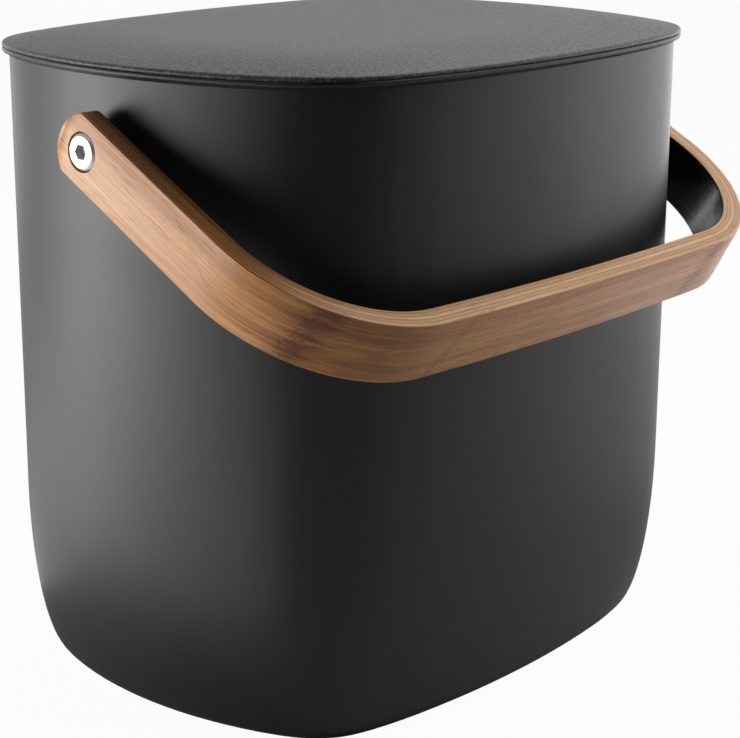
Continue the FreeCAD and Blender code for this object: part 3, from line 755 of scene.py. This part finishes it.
def studio_lamps():
    for name, (turn, radiance) in LEFT_BOXES.items():
        place = around(CAMERA_AZIMUTH + turn, 0, LEFT_DISTANCE, BIN_MIDDLE)
        softbox(name, place, BIN_MIDDLE, LEFT_SIZE, radiance)
    for name, (turn, radiance) in BACK_BOXES.items():
        place = around(CAMERA_AZIMUTH + turn, 0, BACK_DISTANCE, BACK_CENTRE)
        softbox(name, place, BACK_CENTRE, BACK_SIZE, radiance)
    for name, (turn, radiance) in HIGH_BOXES.items():
        place = around(CAMERA_AZIMUTH + turn, HIGH_RISE, HIGH_DISTANCE, BIN_MIDDLE)
        softbox(name, place, BIN_MIDDLE, HIGH_SIZE, radiance)
    for name, (turn, radiance) in FLOOR_PANELS.items():
        place = around(CAMERA_AZIMUTH + turn, 0, PANEL_DISTANCE, PANEL_CENTRE)
        softbox(name, place, place + UP, PANEL_SIZE, radiance)


# Share of plain white in the floor that the camera sees; the rest keeps the bin's shadow
FLOOR_WHITE = 0.96
FLOOR_HALF = 30.0
FLOOR_COLOUR = (0.8, 0.8, 0.8, 1)
FLOOR_ROUGHNESS = 0.9


def pale_floor():
    mesh = bpy.data.meshes.new("floor")
    corners = [(FLOOR_HALF * x, FLOOR_HALF * y, 0) for x, y in ((-1, -1), (1, -1), (1, 1), (-1, 1))]
    mesh.from_pydata(corners, [], [(0, 1, 2, 3)])
    floor = bpy.data.objects.new("floor", mesh)
    bpy.context.scene.collection.objects.link(floor)
    finish = Finish("pale_floor")
    finish.surface(Base_Color=FLOOR_COLOUR, Roughness=FLOOR_ROUGHNESS)
    seen = finish.node("ShaderNodeLightPath", {}, {}, "Is Camera Ray")
    white = finish.node("ShaderNodeEmission", {}, {"Color": WHITE, "Strength": 1.0})
    both = finish.node("ShaderNodeMixShader", {}, {0: seen * FLOOR_WHITE, 2: white})
    finish.links.new(finish.shader.outputs[0], both.socket.node.inputs[1])
    finish.links.new(both.socket, finish.nodes["Material Output"].inputs["Surface"])
    mesh.materials.append(finish.material)


# Light of the dark studio, and where the backdrop begins and is full, as the cosine of the angle
# from straight ahead of the camera
STUDIO_DARK = (0.02, 0.02, 0.02, 1)
BACKDROP_BEGINS = -0.1
BACKDROP_FULL = 0.4


def studio_world():
    """White backdrop behind the bin, dark studio in front of it, and little light of its own."""
    world = bpy.data.worlds.new("studio")
    world.use_nodes = True
    tree = Tree(world.node_tree)
    turn = math.radians(CAMERA_AZIMUTH)
    ahead = (-math.sin(turn), math.cos(turn), 0.0)
    direction = tree.node("ShaderNodeTexCoord", {}, {}, "Generated")
    facing = tree.vector("DOT_PRODUCT", direction, ahead).output("Value")
    behind = tree.ramp(facing, BACKDROP_BEGINS, BACKDROP_FULL)
    ray = tree.node("ShaderNodeLightPath", {}, {}, "Is Camera Ray")
    seen = tree.math("MAXIMUM", ray, ray.output("Is Transmission Ray"))
    seen = tree.math("MAXIMUM", seen, behind * ray.output("Is Glossy Ray"))
    colour = tree.mix(seen, STUDIO_DARK, WHITE)
    tree.links.new(colour.socket, tree.nodes["Background"].inputs["Color"])
    bpy.context.scene.world = world


def photo_camera():
    camera = bpy.data.cameras.new("camera")
    holder = bpy.data.objects.new("camera", camera)
    bpy.context.scene.collection.objects.link(holder)
    camera.sensor_width = SENSOR
    camera.lens = FOCAL_PIXELS / IMAGE_WIDTH * SENSOR
    camera.shift_x = (IMAGE_WIDTH / 2 - CENTRE_X) / IMAGE_WIDTH
    camera.shift_y = (CENTRE_Y - IMAGE_HEIGHT / 2) / IMAGE_WIDTH
    camera.clip_start = CAMERA_NEAR
    holder.location = around(CAMERA_AZIMUTH, CAMERA_ELEVATION, CAMERA_DISTANCE, CAMERA_TARGET)
    looking = Euler((math.pi / 2 - math.radians(CAMERA_ELEVATION), 0, math.radians(CAMERA_AZIMUTH)))
    rolled = looking.to_matrix() @ Euler((0, 0, math.radians(CAMERA_ROLL))).to_matrix()
    holder.rotation_euler = rolled.to_euler()
    bpy.context.scene.camera = holder


black = moulded_plastic(
    "black_plastic",
    dark=(0.008, 0.008, 0.0085, 1),
    light=(0.014, 0.014, 0.0145, 1),
    grain_size=0.0004,
    grain_depth=0.000014,
    roughness=0.46,
    shine=0.5,
)
lid_black = moulded_plastic(
    "lid_plastic",
    dark=(0.012, 0.012, 0.0125, 1),
    light=(0.11, 0.11, 0.111, 1),
    grain_size=0.0011,
    grain_depth=0.00012,
    roughness=0.5,
    shine=0.62,
)
silicone = plain_soft("silicone", colour=(0.03, 0.03, 0.031, 1), roughness=0.6)
nylon = plain_soft("nylon", colour=(0.02, 0.02, 0.02, 1), roughness=0.5)
stainless = turned_stainless("stainless")

smooth_shell("moulded_body", "bin_body", "bin", black)
dress(lid_black, "lid")
dress(silicone, "lid_seal")
for side in ("left", "right"):
    dress(stainless, f"pivot_screw_{side}", f"pivot_sleeve_{side}", f"pivot_washer_{side}")
    dress(nylon, f"pivot_spacer_{side}")
    smooth_shell(f"cap_nut_{side}", f"pivot_nut_{side}", "bin", stainless)
handle_plies()

pale_floor()
studio_world()
studio_lamps()
photo_camera()
bpy.context.scene.view_settings.view_transform = "Standard"
